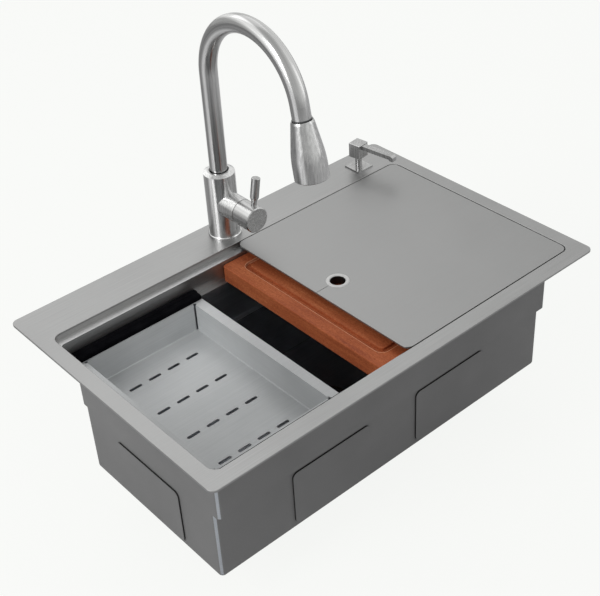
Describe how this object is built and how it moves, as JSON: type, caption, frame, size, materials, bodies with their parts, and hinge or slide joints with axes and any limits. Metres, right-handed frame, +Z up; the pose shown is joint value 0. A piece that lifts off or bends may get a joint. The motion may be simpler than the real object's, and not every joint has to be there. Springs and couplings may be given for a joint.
{
  "type": "workstation kitchen sink",
  "caption": "Drop-in steel workstation sink with a sliding cover, cutting board, colander, swivel pull-down tap, side lever and soap pump.",
  "frame": {"origin": "the middle of the rim in plan, on the worktop plane under the rim seal", "axes": "+X left to right along the sink's length, +Y from the front edge to the tap side, +Z up"},
  "size_m": [0.68, 0.442, 0.6526],
  "materials": {
    "deck_steel": "long straight brush lines along the length",
    "bowl_steel": "satin brushed",
    "cover_steel": "fine brush lines",
    "colander_steel": "satin, lightly mottled",
    "tap_steel": "satin brushed",
    "hidden_steel": "satin",
    "brass": "turned, satin",
    "black_rubber": "matt",
    "sound_pad": "matt grey",
    "black_plastic": "satin moulded",
    "grey_plastic": "moulded",
    "white_plastic": "moulded, plain",
    "ring_plastic": "satin moulded, pale; the inside of the sleeve is black",
    "board_wood": "reddish brown, straight grain along the board's length"
  },
  "bodies": {
    "sink": {"deck_panel": "deck_steel", "rim_seal": "black_rubber", "ledge_frame": "bowl_steel", "upper_wall": "bowl_steel", "bowl_band": "bowl_steel", "bowl_pan": "bowl_steel", "bowl_floor": "bowl_steel", "front_sound_pads": "sound_pad", "back_sound_pads": "sound_pad", "side_sound_pads": "sound_pad", "floor_sound_pads": "sound_pad", "drain_cup": "hidden_steel", "drain_gasket": "black_rubber", "drain_washer": "hidden_steel", "drain_nut": "black_plastic", "tap_base_ring": "tap_steel", "tap_body": "tap_steel", "lower_spout_bush": "white_plastic", "upper_spout_bush": "white_plastic", "spout_o_ring": "black_rubber", "cartridge_housing": "white_plastic", "cartridge_nut": "brass", "tap_shank": "brass", "tap_rubber_washer": "black_rubber", "tap_steel_washer": "hidden_steel", "tap_nut": "brass", "supply_tails": "brass", "pump_plate": "tap_steel", "pump_shank": "black_plastic", "pump_gasket": "black_rubber", "pump_nut": "black_plastic", "pump_barrel": "white_plastic", "dip_tube": "white_plastic", "soap_bottle": "white_plastic", "pump_spring": "hidden_steel"},
    "basket": {"strainer_basket": "hidden_steel", "basket_knob": "hidden_steel", "basket_stem": "hidden_steel", "basket_stopper": "black_rubber"},
    "spout": {"spout_tube": "tap_steel", "spray_hose": "black_plastic", "dock_collar": "grey_plastic"},
    "spray_head": {"spray_shell": "tap_steel", "spray_core": "black_plastic", "spray_face": "grey_plastic"},
    "valve_rotor": {"cartridge_rotor": "white_plastic", "cartridge_pin": "hidden_steel"},
    "lever": {"lever_cap": "tap_steel", "cartridge_stem": "hidden_steel", "lever_grub_screw": "hidden_steel", "lever_pin": "tap_steel"},
    "pump": {"pump_stem": "tap_steel"},
    "pump_head": {"pump_head": "tap_steel", "pump_nozzle": "tap_steel"},
    "cover": {"cover_panel": "cover_steel", "cover_grommet": "ring_plastic"},
    "board": {"cutting_board": "board_wood"},
    "colander": {"colander_tray": "colander_steel", "colander_grips": "black_plastic"}
  },
  "joints": [
    {"name": "cover_slide", "type": "slide", "parent": "sink", "child": "cover", "axis": [-1, 0, 0], "range_m": [0, 0.31]},
    {"name": "board_slide", "type": "slide", "parent": "sink", "child": "board", "axis": [1, 0, 0], "range_m": [0, 0.125]},
    {"name": "colander_slide", "type": "slide", "parent": "sink", "child": "colander", "axis": [1, 0, 0], "range_m": [0, 0.05]},
    {"name": "basket_lift", "type": "slide", "parent": "sink", "child": "basket", "axis": [0, 0, 1], "range_m": [0, 0.06]},
    {"name": "spout_swivel", "type": "hinge", "parent": "sink", "child": "spout", "pos_m": [0.002, 0.1857, 0.0045], "axis": [0, 0, 1], "range_deg": [-110, 110]},
    {"name": "spray_pull", "type": "slide", "parent": "spout", "child": "spray_head", "axis": [0, -0.1736, -0.9848], "range_m": [0, 0.15], "deforming": ["spray_hose"]},
    {"name": "lever_turn", "type": "hinge", "parent": "sink", "child": "valve_rotor", "pos_m": [0.002, 0.1437, 0.0608], "axis": [0, 1, 0], "range_deg": [-55, 35]},
    {"name": "lever_lift", "type": "hinge", "parent": "valve_rotor", "child": "lever", "pos_m": [0.002, 0.1437, 0.0608], "axis": [0.9829, 0, -0.184], "range_deg": [0, 20]},
    {"name": "pump_press", "type": "slide", "parent": "sink", "child": "pump", "axis": [0, 0, -1], "range_m": [0, 0.012], "stiffness_N_per_m": 300, "springref_m": -0.02, "deforming": ["pump_spring"]},
    {"name": "pump_swivel", "type": "hinge", "parent": "pump", "child": "pump_head", "pos_m": [0.27, 0.1825, 0.0045], "axis": [0, 0, 1], "continuous": true}
  ]
}
